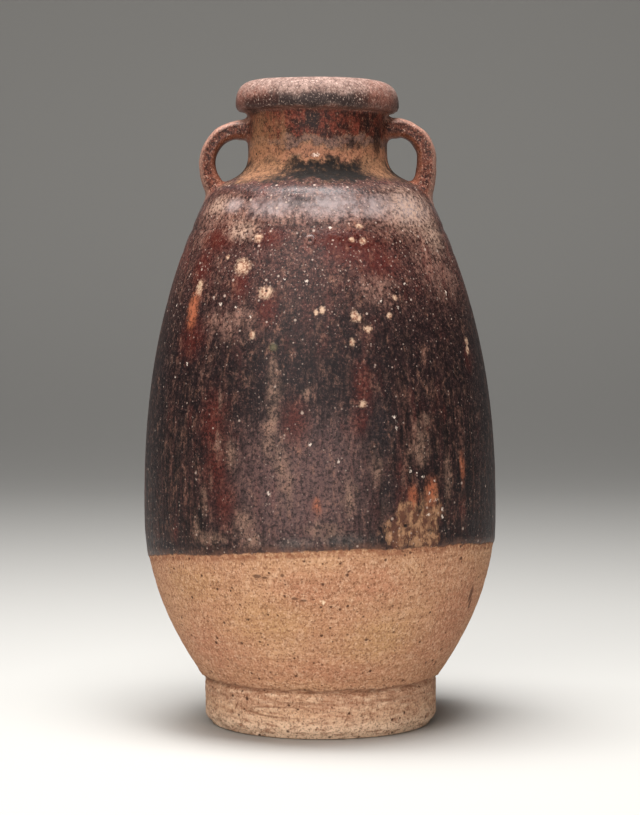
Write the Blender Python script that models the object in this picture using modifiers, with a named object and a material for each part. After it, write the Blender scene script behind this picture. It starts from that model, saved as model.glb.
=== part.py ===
"""Small two-eared stoneware bottle: one hollow thrown pot with a collared mouth.

Units are metres and +Z is up. The bottle stands on the plane z = 0 with its axis on Z,
and its two ears lie in the XZ plane. The body, foot, neck and lip are thrown as one, and
the ears are luted on before firing, so the whole bottle is a single solid.
"""

import math

import bmesh
import bpy
from mathutils import Vector

# Foot: a short upright ring, grooved under the body and bevelled where it stands
FOOT_RADIUS = 0.0302
FOOT_HEIGHT = 0.0126
FOOT_BEVEL = 0.0030
FOOT_GROOVE_DEPTH = 0.0008
FOOT_GROOVE_WIDTH = 0.0012

# Body: springs out over the foot, is widest low down and draws in to the shoulder
BODY_OVERHANG = 0.0009
BELLY_RADIUS = 0.0454
BELLY_RISE = 0.0411
LOWER_FULLNESS = 2.0
SHOULDER_RADIUS = 0.0294
FLANK_RISE = 0.0803
UPPER_FULLNESS = 2.376

# Neck: short and hollow-sided, rising from the sloping top of the shoulder
SHOULDER_RISE = 0.0057
NECK_FLARE = 0.0044
NECK_ROOT_SLOPE = math.radians(25.0)
NECK_COVE_RISE = 0.0063
NECK_RADIUS = 0.0180
NECK_RISE = 0.0107

# Lip: a rounded collar that overhangs the neck
LIP_OVERHANG = 0.0033
LIP_HEIGHT = 0.0083
LIP_EDGE_ROUND = 0.0010
LIP_CREST_INSET = 0.0057

# Walls: even in the body, thicker in the floor, the neck and the mouth
BODY_WALL = 0.0050
FLOOR_THICKNESS = 0.0090
NECK_WALL = 0.0065
MOUTH_WALL = 0.0080
MOUTH_DEPTH = 0.0120
MOUTH_ROUND = 0.0030

# Ears: rolled strands, bent from just under the lip round to the shoulder
EAR_REACH = 0.0128
EAR_THICKNESS = 0.0050
EAR_WIDTH = 0.0078
EAR_TOP_GAP = 0.0006
EAR_SEAT_INSET = 0.0008
EAR_ROOT_SWELL = 1.45
EAR_EMBED = 0.0024

# Heights and radii that follow from the sizes above
BELLY_HEIGHT = FOOT_HEIGHT + BELLY_RISE
SHOULDER_HEIGHT = BELLY_HEIGHT + FLANK_RISE
NECK_ROOT_HEIGHT = SHOULDER_HEIGHT + SHOULDER_RISE
NECK_WAIST_HEIGHT = NECK_ROOT_HEIGHT + NECK_COVE_RISE
LIP_BASE_HEIGHT = NECK_WAIST_HEIGHT + NECK_RISE
HEIGHT = LIP_BASE_HEIGHT + LIP_HEIGHT
SPRING_RADIUS = FOOT_RADIUS + BODY_OVERHANG
NECK_ROOT_RADIUS = NECK_RADIUS + NECK_FLARE
THROAT_RADIUS = NECK_RADIUS - NECK_WALL
LIP_RADIUS = NECK_RADIUS + LIP_OVERHANG
MOUTH_RADIUS = LIP_RADIUS - MOUTH_WALL

# How far the handles of a curve reach, as a share of the straight way between its ends
SHOULDER_TENSION = 0.36
COVE_TENSION = 0.42
LIP_TENSION = 0.43
BEVEL_TENSION = 0.30
VAULT_TENSION = 0.45

# Fineness of the faceted solid
TURN_STEPS = 48
LOWER_STEPS = 8
UPPER_STEPS = 10
CURVE_STEPS = 4
SMALL_CURVE_STEPS = 2
INNER_LOWER_STEPS = 6
INNER_UPPER_STEPS = 7
EAR_SIDE_RESOLUTION = 3
EAR_STEPS = 6

UP = Vector((0.0, 1.0))
INWARD = Vector((-1.0, 0.0))

GLAZE_COLOUR = (0.050, 0.020, 0.014, 1.0)
GLAZE_ROUGHNESS = 0.30


def bend(start, start_way, end, end_way, tension, steps):
    """Smooth curve from start to end, leaving and arriving along two ways.

    Every outline is a list of (radius, height), and a curve leaves out its first point,
    which is the last point of the line that it carries on.
    """
    reach = tension * (end - start).length
    leave = start + start_way * reach
    arrive = end - end_way * reach
    points = []
    for index in range(1, steps + 1):
        t = index / steps
        s = 1.0 - t
        outer_part = start * s ** 3 + end * t ** 3
        points.append(outer_part + leave * (3 * s * s * t) + arrive * (3 * s * t * t))
    return points


def neck_root_way():
    """Direction in which the shoulder runs up into the neck."""
    return Vector((-math.cos(NECK_ROOT_SLOPE), math.sin(NECK_ROOT_SLOPE)))


def lower_flank(steps):
    """Outer side from the top of the foot up to the belly."""
    points = []
    for index in range(steps + 1):
        t = index / steps
        tuck = (BELLY_RADIUS - SPRING_RADIUS) * (1.0 - t) ** LOWER_FULLNESS
        points.append(Vector((BELLY_RADIUS - tuck, FOOT_HEIGHT + BELLY_RISE * t)))
    return points


def upper_flank(steps):
    """Outer side from the belly up to the shoulder."""
    points = []
    for index in range(1, steps + 1):
        t = index / steps
        tuck = (BELLY_RADIUS - SHOULDER_RADIUS) * t ** UPPER_FULLNESS
        points.append(Vector((BELLY_RADIUS - tuck, BELLY_HEIGHT + FLANK_RISE * t)))
    return points


def shoulder_round(steps):
    """Outer side from the flank over the shoulder to the root of the neck."""
    start = Vector((SHOULDER_RADIUS, SHOULDER_HEIGHT))
    end = Vector((NECK_ROOT_RADIUS, NECK_ROOT_HEIGHT))
    lean = (BELLY_RADIUS - SHOULDER_RADIUS) * UPPER_FULLNESS / FLANK_RISE
    start_way = Vector((-lean, 1.0)).normalized()
    return bend(start, start_way, end, neck_root_way(), SHOULDER_TENSION, steps)


def neck_cove(steps):
    """Outer side from the root of the neck up its hollow curve to its waist."""
    start = Vector((NECK_ROOT_RADIUS, NECK_ROOT_HEIGHT))
    end = Vector((NECK_RADIUS, NECK_WAIST_HEIGHT))
    return bend(start, neck_root_way(), end, UP, COVE_TENSION, steps)


def lip_outside():
    """Outer side from the waist of the neck over the collar to the crest of the lip."""
    small = LIP_EDGE_ROUND
    neck_top = Vector((NECK_RADIUS, LIP_BASE_HEIGHT - small))
    under = Vector((NECK_RADIUS + small, LIP_BASE_HEIGHT))
    edge = Vector((LIP_RADIUS - small, LIP_BASE_HEIGHT))
    side = Vector((LIP_RADIUS, LIP_BASE_HEIGHT + small))
    crest = Vector((LIP_RADIUS - LIP_CREST_INSET, HEIGHT))
    points = [neck_top]
    points += bend(neck_top, UP, under, -INWARD, LIP_TENSION, SMALL_CURVE_STEPS)
    points.append(edge)
    points += bend(edge, -INWARD, side, UP, LIP_TENSION, SMALL_CURVE_STEPS)
    points += bend(side, UP, crest, INWARD, LIP_TENSION, CURVE_STEPS + 1)
    return points


def body_outside():
    """Whole outer side, from the top of the foot up to the crest of the lip."""
    flank = lower_flank(LOWER_STEPS) + upper_flank(UPPER_STEPS)
    return flank + shoulder_round(CURVE_STEPS) + neck_cove(CURVE_STEPS) + lip_outside()


def inset(points, distance):
    """The line moved square to itself, towards the axis, to leave an even wall."""
    moved = []
    for index, point in enumerate(points):
        before = points[max(index - 1, 0)]
        after = points[min(index + 1, len(points) - 1)]
        along = (after - before).normalized()
        moved.append(point + Vector((-along.y, along.x)) * distance)
    return moved


def body_inside():
    """Inner side, from the middle of the floor up to just short of the lip's crest."""
    outside = lower_flank(INNER_LOWER_STEPS) + upper_flank(INNER_UPPER_STEPS)
    wall = inset(outside + shoulder_round(SMALL_CURVE_STEPS), BODY_WALL)
    wall = [point for point in wall if point.y > FLOOR_THICKNESS + 0.5 * BODY_WALL]
    floor = []
    for index in range(CURVE_STEPS):
        share = index / CURVE_STEPS
        dish = (wall[0].y - FLOOR_THICKNESS) * share ** 3
        floor.append(Vector((wall[0].x * share, FLOOR_THICKNESS + dish)))

    throat_base = Vector((THROAT_RADIUS, NECK_WAIST_HEIGHT))
    throat_top = Vector((THROAT_RADIUS, HEIGHT - MOUTH_DEPTH))
    mouth = Vector((MOUTH_RADIUS, HEIGHT - MOUTH_ROUND))
    crest = Vector((LIP_RADIUS - LIP_CREST_INSET, HEIGHT))
    wall_way = (wall[-1] - wall[-2]).normalized()
    vault = bend(wall[-1], wall_way, throat_base, UP, VAULT_TENSION, CURVE_STEPS)
    funnel = bend(throat_top, UP, mouth, UP, LIP_TENSION, CURVE_STEPS - 1)
    rim = bend(mouth, UP, crest, -INWARD, LIP_TENSION, CURVE_STEPS)
    return floor + wall + vault + [throat_top] + funnel + rim[:-1]


def foot_outside():
    """Outer side of the foot, from the groove under the body to the middle below."""
    groove_middle = FOOT_HEIGHT - 0.5 * FOOT_GROOVE_WIDTH
    bevel_top = Vector((FOOT_RADIUS, FOOT_BEVEL))
    bevel_base = Vector((FOOT_RADIUS - FOOT_BEVEL, 0.0))
    points = [
        Vector((FOOT_RADIUS - FOOT_GROOVE_DEPTH, groove_middle)),
        Vector((FOOT_RADIUS, FOOT_HEIGHT - FOOT_GROOVE_WIDTH)),
        bevel_top,
    ]
    points += bend(bevel_top, -UP, bevel_base, INWARD, BEVEL_TENSION, CURVE_STEPS - 1)
    return points + [Vector((0.5 * FOOT_RADIUS, 0.0)), Vector((0.0, 0.0))]


def build_body(collection):
    """The thrown pot: its section turned about the axis."""
    section = body_inside() + list(reversed(body_outside())) + foot_outside()
    mesh = bpy.data.meshes.new("vase")
    edges = [(index, index + 1) for index in range(len(section) - 1)]
    mesh.from_pydata([(point.x, 0.0, point.y) for point in section], edges, [])
    body = bpy.data.objects.new("vase", mesh)
    collection.objects.link(body)
    turn = body.modifiers.new("Turn", "SCREW")
    turn.axis = "Z"
    turn.angle = math.tau
    turn.steps = TURN_STEPS
    turn.render_steps = TURN_STEPS
    turn.use_merge_vertices = True
    turn.merge_threshold = 0.00001
    turn.use_smooth_shade = True
    return body


def shoulder_height_at(radius):
    """Height of the outer surface of the shoulder at a distance from the axis."""
    line = upper_flank(UPPER_STEPS) + shoulder_round(CURVE_STEPS) + neck_cove(CURVE_STEPS)
    for outer, inner in zip(line, line[1:]):
        if inner.x <= radius <= outer.x:
            share = (outer.x - radius) / (outer.x - inner.x)
            return outer.y + (inner.y - outer.y) * share
    return SHOULDER_HEIGHT


def ear_path():
    """Centre line of an ear: (distance from the axis, height, swelling of the strand)."""
    half = 0.5 * EAR_THICKNESS
    outer = NECK_RADIUS + EAR_REACH - half
    top = LIP_BASE_HEIGHT - EAR_TOP_GAP - half
    seat = outer - EAR_SEAT_INSET
    base = shoulder_height_at(seat)
    rise = top - base
    return [
        (NECK_RADIUS - EAR_EMBED, top - 0.05 * rise, EAR_ROOT_SWELL),
        (NECK_RADIUS + 0.33 * EAR_REACH, top - 0.03 * rise, 1.18),
        (outer - 0.10 * EAR_REACH, top - 0.20 * rise, 1.10),
        (outer, top - 0.48 * rise, 1.02),
        (outer - 0.04 * EAR_REACH, base + 0.22 * rise, 1.06),
        (seat - 0.6 * EAR_EMBED, base - EAR_EMBED, EAR_ROOT_SWELL),
    ]


def draw_strand(name, side):
    """Curve of an ear, as a round strand of the ear's thickness."""
    curve = bpy.data.curves.new(name, "CURVE")
    curve.dimensions = "3D"
    curve.bevel_depth = 0.5 * EAR_THICKNESS
    curve.bevel_resolution = EAR_SIDE_RESOLUTION
    curve.resolution_u = EAR_STEPS
    curve.use_fill_caps = True
    path = ear_path()
    spline = curve.splines.new("BEZIER")
    spline.bezier_points.add(len(path) - 1)
    for point, (reach, height, swell) in zip(spline.bezier_points, path):
        point.co = (side * reach, 0.0, height)
        point.radius = swell
        point.handle_left_type = "AUTO"
        point.handle_right_type = "AUTO"
    return bpy.data.objects.new(name + "_strand", curve)


def build_ear(name, side, collection):
    """One ear: its strand made a closed mesh and spread to the ear's width."""
    strand = draw_strand(name, side)
    collection.objects.link(strand)
    bpy.context.view_layer.update()
    evaluated = strand.evaluated_get(bpy.context.evaluated_depsgraph_get())
    mesh = bpy.data.meshes.new_from_object(evaluated)
    working = bmesh.new()
    working.from_mesh(mesh)
    bmesh.ops.remove_doubles(working, verts=working.verts, dist=0.00001)
    spread = Vector((1.0, EAR_WIDTH / EAR_THICKNESS, 1.0))
    bmesh.ops.scale(working, vec=spread, verts=working.verts)
    bmesh.ops.recalc_face_normals(working, faces=working.faces)
    working.to_mesh(mesh)
    working.free()
    ear = bpy.data.objects.new(name, mesh)
    collection.objects.link(ear)
    ear.matrix_world = strand.matrix_world
    bpy.data.objects.remove(strand)
    ear.hide_render = True
    ear.display_type = "WIRE"
    return ear


def lute(body, piece):
    """Join a piece to the body, so that both are one solid."""
    union = body.modifiers.new("Lute " + piece.name, "BOOLEAN")
    union.operation = "UNION"
    union.solver = "EXACT"
    union.object = piece


def glazed_stoneware():
    """Dark brown iron glaze, half shiny."""
    material = bpy.data.materials.new("glazed stoneware")
    material.use_nodes = True
    shader = material.node_tree.nodes["Principled BSDF"]
    shader.inputs["Base Color"].default_value = GLAZE_COLOUR
    shader.inputs["Roughness"].default_value = GLAZE_ROUGHNESS
    shader.inputs["Metallic"].default_value = 0.0
    material.diffuse_color = GLAZE_COLOUR
    return material


def new_collection(name):
    collection = bpy.data.collections.new(name)
    bpy.context.scene.collection.children.link(collection)
    return collection


def main():
    for item in list(bpy.data.objects):
        bpy.data.objects.remove(item)
    bottle = new_collection("two-eared bottle")
    luted_pieces = new_collection("luted pieces")
    body = build_body(bottle)
    body.data.materials.append(glazed_stoneware())
    for name, side in (("left_ear", -1.0), ("right_ear", 1.0)):
        lute(body, build_ear(name, side, luted_pieces))


main()
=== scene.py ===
import math

import bmesh
import bpy
from mathutils import Matrix, Vector, kdtree, noise


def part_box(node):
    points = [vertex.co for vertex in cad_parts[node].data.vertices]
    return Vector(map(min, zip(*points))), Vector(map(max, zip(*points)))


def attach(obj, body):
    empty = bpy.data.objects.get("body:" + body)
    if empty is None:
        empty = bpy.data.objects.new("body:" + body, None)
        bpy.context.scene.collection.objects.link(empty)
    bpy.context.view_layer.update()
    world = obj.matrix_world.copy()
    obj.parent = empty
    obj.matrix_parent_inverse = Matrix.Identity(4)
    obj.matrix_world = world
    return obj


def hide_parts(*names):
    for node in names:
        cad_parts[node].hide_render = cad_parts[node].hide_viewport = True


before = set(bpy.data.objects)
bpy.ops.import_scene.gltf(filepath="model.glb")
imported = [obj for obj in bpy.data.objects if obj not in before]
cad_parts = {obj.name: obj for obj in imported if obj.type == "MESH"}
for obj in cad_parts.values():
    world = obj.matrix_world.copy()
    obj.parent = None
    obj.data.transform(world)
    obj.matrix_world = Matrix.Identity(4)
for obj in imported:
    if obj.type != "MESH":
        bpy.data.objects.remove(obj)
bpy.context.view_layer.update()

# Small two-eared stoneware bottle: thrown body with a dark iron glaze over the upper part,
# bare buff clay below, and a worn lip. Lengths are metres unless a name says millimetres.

MM = 0.001

# Sizes read from the solid
solid_low, solid_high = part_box("vase")
HEIGHT = solid_high.z
BELLY_RADIUS = solid_high.x

# Foot: a short upright ring, grooved under the body and bevelled where it stands
FOOT_RADIUS = 30.2 * MM
FOOT_HEIGHT = 12.6 * MM
FOOT_BEVEL = 3.0 * MM
FOOT_GROOVE_DEPTH = 0.8 * MM
FOOT_GROOVE_WIDTH = 1.2 * MM

# Body
BODY_OVERHANG = 0.9 * MM
BELLY_RISE = 41.1 * MM
LOWER_FULLNESS = 2.0
SHOULDER_RADIUS = 29.4 * MM
FLANK_RISE = 80.3 * MM
UPPER_FULLNESS = 2.376

# Neck and lip
SHOULDER_RISE = 5.7 * MM
NECK_FLARE = 4.4 * MM
NECK_ROOT_SLOPE = math.radians(25.0)
NECK_COVE_RISE = 6.3 * MM
NECK_RADIUS = 18.0 * MM
LIP_OVERHANG = 3.3 * MM
LIP_HEIGHT = 8.3 * MM
LIP_EDGE_ROUND = 1.0 * MM
LIP_LOWER_ROUND = 1.9 * MM
LIP_CREST_INSET = 5.7 * MM

# Walls
BODY_WALL = 5.0 * MM
FLOOR_THICKNESS = 9.0 * MM
NECK_WALL = 6.5 * MM
MOUTH_WALL = 8.0 * MM
MOUTH_DEPTH = 12.0 * MM
MOUTH_ROUND = 3.0 * MM

# Ears: centre line as (distance from the axis, height, thickness) in millimetres
LEFT_EAR = [
    (15.6, 152.4, 7), (18.6, 152.3, 6), (21.8, 152, 4.9), (25.2, 150.3, 4.6), (27.6, 147, 4.5),
    (28.3, 143.6, 4.6), (27.9, 140.6, 4.9), (26.6, 137.6, 5.8), (25, 134.6, 7.4),
]
RIGHT_EAR = [
    (15.6, 153, 7.6), (19.2, 153, 6.3), (22.4, 152.8, 5.4), (25.8, 150.6, 5.2), (27.6, 147.2, 5.3),
    (27.9, 143.6, 5.4), (27.6, 140.4, 5.7), (26.6, 137.2, 6.8), (25.2, 133.8, 8.6),
]
EARS = ((LEFT_EAR, -1.0), (RIGHT_EAR, 1.0))
EAR_SPREAD = 1.55
EAR_SQUARENESS = 2.5
EAR_CHANNEL_DEPTH = 0.55 * MM
EAR_CHANNEL_WIDTH = 0.75 * MM
# Shares of an ear's length over which its channels open and close
CHANNEL_OPENS = (0.10, 0.25)
CHANNEL_CLOSES = (0.74, 0.88)

# Heights and radii that follow from the sizes above
BELLY_HEIGHT = FOOT_HEIGHT + BELLY_RISE
SHOULDER_HEIGHT = BELLY_HEIGHT + FLANK_RISE
NECK_ROOT_HEIGHT = SHOULDER_HEIGHT + SHOULDER_RISE
NECK_WAIST_HEIGHT = NECK_ROOT_HEIGHT + NECK_COVE_RISE
LIP_BASE_HEIGHT = HEIGHT - LIP_HEIGHT
SPRING_RADIUS = FOOT_RADIUS + BODY_OVERHANG
NECK_ROOT_RADIUS = NECK_RADIUS + NECK_FLARE
THROAT_RADIUS = NECK_RADIUS - NECK_WALL
LIP_RADIUS = NECK_RADIUS + LIP_OVERHANG
MOUTH_RADIUS = LIP_RADIUS - MOUTH_WALL

# Fineness of the mesh
WEDGE_DOUBLINGS = 4
WEDGE_STEPS = 22
LOWER_STEPS = 60
FOOT_STEPS = 22
LINE_CROWDING = 0.30
UPPER_STEPS = 56
CURVE_STEPS = 12
LIP_STEPS = 16
EDGE_STEPS = 4
INNER_STEPS = 10
MOUTH_STEPS = 6
EAR_SIDES = 36
EAR_STEPS = 44
EAR_POINTS = 120
ROWS_PER_MM = 4

UP = Vector((0.0, 1.0))
INWARD = Vector((-1.0, 0.0))

# The pot leans a little to the left as it rises, and its lip dips to the right
FOOT_SHIFT = 0.25
TOP_SHIFT = -1.0
LEAN_POWER = 1.3
LIP_DIP = 0.5
LIP_DIP_HEIGHTS = (146.0, 157.0)

# The lower edge of the glaze runs round at a slant: mean height, rise to the right and to the
# front, raggedness, and how far from it the skin still notes the distance, in millimetres
LINE_HEIGHT = 44.6
LINE_RISE_RIGHT = 1.7
LINE_RISE_FRONT = 4.2
LINE_RAGGEDNESS = 0.35
LINE_SCOPE = 60.0

# How far the surface is moved from the turned form, in millimetres
SURFACE_SETBACK = 0.18
CLAY_SETBACK = 0.22
UNEVENNESS = 0.15
RING_RELIEF = 0.055

# How near an ear and how deep in the body the clay is smeared, in millimetres, and how often
SEAM_REACH = 1.7
SEAM_DEPTH = 1.9
SEAM_SMOOTHINGS = 14

# The skin is inner wall this deep under the turned form and above this height, in millimetres
INNER_DEPTH = 3.5
INNER_BASE = 6.0

# The underside was cut off the wheel with a wire, which left a slight hollow and shallow arcs
UNDERSIDE_HEIGHT = 0.4
UNDERSIDE_HOLLOW = 0.35
WIRE_ARC_RELIEF = 0.05

# A tool was drawn round the foot, and left a doubled line that starts in a round end. Heights,
# half width and radius are in millimetres, the angle is in degrees, and FOOT_DEGREE is the
# length of one degree round the foot in millimetres.
FOOT_MARKS_HEIGHT = 14.0
TOOL_LOW_LINE = 6.2
TOOL_HIGH_LINE = 8.6
TOOL_LINE_HALF_WIDTH = 0.45
TOOL_END_TURN = -36.5
TOOL_END_HEIGHT = 7.4
TOOL_END_RADIUS = 1.2
FOOT_DEGREE = 0.52

# Heights between which the bands of the finish lie, in millimetres
FOOT_TOP = (8.0, 12.6)
FOOT_SEAM = (12.0, 12.7)
MIDDLE_GLAZE = (82.0, 109.0)
UPPER_GLAZE = (92.0, 122.0)
SHOULDER_GLOSS = (122.0, 136.5)
SHOULDER_RING = (126.6, 127.2)
COVE_DULL = (137.0, 144.5)
NECK_JOIN = (137.6, 139.6)
OLIVE_BAND = (138.0, 143.4)
ORANGE_BAND = (144.0, 147.0)
SHEEN_BAND = (147.6, 149.6)
RED_BAND = (149.8, 157.2)
LIP_JOIN = (156.0, 156.7)
LIP_BELT = (156.8, 160.4)

# How strongly the glaze mirrors the lights
SPECULAR_LEVEL = 0.19

# Floor that sweeps up behind the bottle, as distances and heights in metres
FLOOR_HALF_WIDTH = 1.6
FLOOR_FRONT = -1.4
FLOOR_BEND = 0.7
FLOOR_BACK = 1.3
FLOOR_BEND_TOP = 0.6
FLOOR_TOP = 1.6
FLOOR_STEPS = 16

# Camera: place in metres, tilt in degrees, lens and sensor in millimetres
CAMERA_DISTANCE = 0.622
CAMERA_HEIGHT = 0.1126
CAMERA_TILT = 2.90
CAMERA_LENS = 106.77
CAMERA_SENSOR = 36.0


def smooth_step(low, high, value):
    """0 below low, 1 above high and an eased way between them."""
    share = min(max((value - low) / (high - low), 0.0), 1.0)
    return share * share * (3.0 - 2.0 * share)


def swell(away, half_width):
    """1 in the middle of a swelling, and less and less away from it."""
    return math.exp(-(away / half_width) ** 2)


def in_scene(name, data):
    """New object in the scene."""
    made = bpy.data.objects.new(name, data)
    bpy.context.scene.collection.objects.link(made)
    return made


def bend(start, start_way, end, end_way, tension, steps):
    """Smooth curve of (radius, height) from start to end, without its first point."""
    reach = tension * (end - start).length
    leave = start + start_way * reach
    arrive = end - end_way * reach
    points = []
    for index in range(1, steps + 1):
        t = index / steps
        s = 1.0 - t
        outer_part = start * s ** 3 + end * t ** 3
        points.append(outer_part + leave * (3 * s * s * t) + arrive * (3 * s * t * t))
    return points


def neck_root_way():
    """Way in which the shoulder runs into the neck."""
    return Vector((-math.cos(NECK_ROOT_SLOPE), math.sin(NECK_ROOT_SLOPE)))


def lower_flank(steps):
    """Outer side from the foot up to the belly, with closer rows towards the glaze line."""
    points = []
    for index in range(steps + 1):
        t = index / steps
        t += LINE_CROWDING * t * (1.0 - t)
        tuck = (BELLY_RADIUS - SPRING_RADIUS) * (1.0 - t) ** LOWER_FULLNESS
        points.append(Vector((BELLY_RADIUS - tuck, FOOT_HEIGHT + BELLY_RISE * t)))
    return points


def upper_flank(steps):
    """Outer side from the belly up to the shoulder."""
    points = []
    for index in range(1, steps + 1):
        t = index / steps
        tuck = (BELLY_RADIUS - SHOULDER_RADIUS) * t ** UPPER_FULLNESS
        points.append(Vector((BELLY_RADIUS - tuck, BELLY_HEIGHT + FLANK_RISE * t)))
    return points


def shoulder_round(steps):
    """Outer side from the flank over the shoulder to the root of the neck."""
    start = Vector((SHOULDER_RADIUS, SHOULDER_HEIGHT))
    end = Vector((NECK_ROOT_RADIUS, NECK_ROOT_HEIGHT))
    lean = (BELLY_RADIUS - SHOULDER_RADIUS) * UPPER_FULLNESS / FLANK_RISE
    return bend(start, Vector((-lean, 1.0)).normalized(), end, neck_root_way(), 0.36, steps)


def neck_cove(steps):
    """Outer side from the root of the neck up its hollow curve to its waist."""
    start = Vector((NECK_ROOT_RADIUS, NECK_ROOT_HEIGHT))
    end = Vector((NECK_RADIUS, NECK_WAIST_HEIGHT))
    return bend(start, neck_root_way(), end, UP, 0.42, steps)


def neck_side(steps):
    """The upright part of the neck, up to just under the lip."""
    top = LIP_BASE_HEIGHT - LIP_EDGE_ROUND
    rise = top - NECK_WAIST_HEIGHT
    return [Vector((NECK_RADIUS, NECK_WAIST_HEIGHT + rise * k / steps)) for k in range(1, steps + 1)]


def lip_outside():
    """Outer side from the top of the neck over the collar to the crest of the lip."""
    neck_top = Vector((NECK_RADIUS, LIP_BASE_HEIGHT - LIP_EDGE_ROUND))
    under = Vector((NECK_RADIUS + LIP_EDGE_ROUND, LIP_BASE_HEIGHT))
    edge = Vector((LIP_RADIUS - LIP_LOWER_ROUND, LIP_BASE_HEIGHT))
    side = Vector((LIP_RADIUS, LIP_BASE_HEIGHT + 1.3 * LIP_LOWER_ROUND))
    crest = Vector((LIP_RADIUS - LIP_CREST_INSET, HEIGHT))
    points = bend(neck_top, UP, under, -INWARD, 0.43, EDGE_STEPS)
    points += [under.lerp(edge, 0.5), edge]
    points += bend(edge, -INWARD, side, UP, 0.43, EDGE_STEPS)
    points += bend(side, UP, crest, INWARD, 0.43, LIP_STEPS)
    return points


def body_outside():
    """Whole outer side, from the top of the foot up to the crest of the lip."""
    flank = lower_flank(LOWER_STEPS) + upper_flank(UPPER_STEPS)
    neck = shoulder_round(CURVE_STEPS) + neck_cove(CURVE_STEPS) + neck_side(CURVE_STEPS)
    return flank + neck + lip_outside()


def inset(points, distance):
    """The line moved square to itself, towards the axis, to leave an even wall."""
    moved = []
    for index, point in enumerate(points):
        before = points[max(index - 1, 0)]
        after = points[min(index + 1, len(points) - 1)]
        along = (after - before).normalized()
        moved.append(point + Vector((-along.y, along.x)) * distance)
    return moved


def body_inside():
    """Inner side, from the middle of the floor up to just short of the lip's crest."""
    outside = lower_flank(INNER_STEPS) + upper_flank(INNER_STEPS)
    wall = inset(outside + shoulder_round(EDGE_STEPS), BODY_WALL)
    wall = [point for point in wall if point.y > FLOOR_THICKNESS + 0.5 * BODY_WALL]
    floor = []
    for index in range(EDGE_STEPS + 2):
        share = index / (EDGE_STEPS + 2)
        dish = (wall[0].y - FLOOR_THICKNESS) * share ** 3
        floor.append(Vector((wall[0].x * share, FLOOR_THICKNESS + dish)))
    throat_base = Vector((THROAT_RADIUS, NECK_WAIST_HEIGHT))
    throat_top = Vector((THROAT_RADIUS, HEIGHT - MOUTH_DEPTH))
    mouth = Vector((MOUTH_RADIUS, HEIGHT - MOUTH_ROUND))
    crest = Vector((LIP_RADIUS - LIP_CREST_INSET, HEIGHT))
    wall_way = (wall[-1] - wall[-2]).normalized()
    vault = bend(wall[-1], wall_way, throat_base, UP, 0.45, EDGE_STEPS)
    throat = [throat_base.lerp(throat_top, share) for share in (0.5, 1.0)]
    funnel = bend(throat_top, UP, mouth, UP, 0.43, MOUTH_STEPS)
    rim = bend(mouth, UP, crest, -INWARD, 0.43, MOUTH_STEPS)
    return floor + wall + vault + throat + funnel + rim[:-1]


def foot_outside():
    """Outer side of the foot, from the groove under the body to the middle below."""
    wall_top = FOOT_HEIGHT - FOOT_GROOVE_WIDTH
    groove_middle = FOOT_HEIGHT - 0.5 * FOOT_GROOVE_WIDTH
    bevel_top = Vector((FOOT_RADIUS, FOOT_BEVEL))
    bevel_base = Vector((FOOT_RADIUS - FOOT_BEVEL, 0.0))
    points = [Vector((FOOT_RADIUS - FOOT_GROOVE_DEPTH, groove_middle))]
    for index in range(FOOT_STEPS):
        share = index / FOOT_STEPS
        points.append(Vector((FOOT_RADIUS, wall_top + (FOOT_BEVEL - wall_top) * share)))
    points.append(bevel_top)
    points += bend(bevel_top, -UP, bevel_base, INWARD, 0.30, LIP_STEPS // 2)
    for index in range(1, INNER_STEPS + 1):
        points.append(bevel_base * (1.0 - index / INNER_STEPS))
    return points


def turned_radius_table():
    """Outer radius in millimetres, in rows that are evenly spread over the height."""
    line = list(reversed(foot_outside()[:-INNER_STEPS])) + body_outside()
    table = []
    for index in range(int(HEIGHT / MM * ROWS_PER_MM) + 1):
        height = index / ROWS_PER_MM * MM
        radius = 0.0
        for low, high in zip(line, line[1:]):
            if min(low.y, high.y) <= height <= max(low.y, high.y) and low.y != high.y:
                share = (height - low.y) / (high.y - low.y)
                radius = max(radius, low.x + (high.x - low.x) * share)
        table.append(radius / MM)
    return table


RADIUS_TABLE = turned_radius_table()


def turned_radius(height):
    """Outer radius of the turned form at a height, both in millimetres."""
    place = min(max(height * ROWS_PER_MM, 0.0), len(RADIUS_TABLE) - 1.001)
    index = int(place)
    share = place - index
    return RADIUS_TABLE[index] * (1.0 - share) + RADIUS_TABLE[index + 1] * share


def lean_at(height):
    """Sideways shift of the axis at a height, both in millimetres."""
    return FOOT_SHIFT + TOP_SHIFT * max(height / (HEIGHT / MM), 0.0) ** LEAN_POWER


def line_height(turn):
    """Height of the glaze's lower edge at an angle round the pot, in millimetres."""
    slant = LINE_RISE_RIGHT * math.sin(turn) + LINE_RISE_FRONT * math.cos(turn)
    spread = Vector((math.sin(turn), math.cos(turn), 0.0))
    waves = 0.5 * noise.noise(spread * 4.0) + LINE_RAGGEDNESS * noise.noise(spread * 22.0)
    return LINE_HEIGHT + slant + waves + 0.5 * LINE_RAGGEDNESS * noise.noise(spread * 60.0)


def finished_mesh(work, name):
    """Mesh of what was worked on, with its faces turned outward."""
    bmesh.ops.recalc_face_normals(work, faces=work.faces)
    mesh = bpy.data.meshes.new(name)
    work.to_mesh(mesh)
    work.free()
    return mesh


def only_verts(items):
    return [item for item in items if isinstance(item, bmesh.types.BMVert)]


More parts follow.
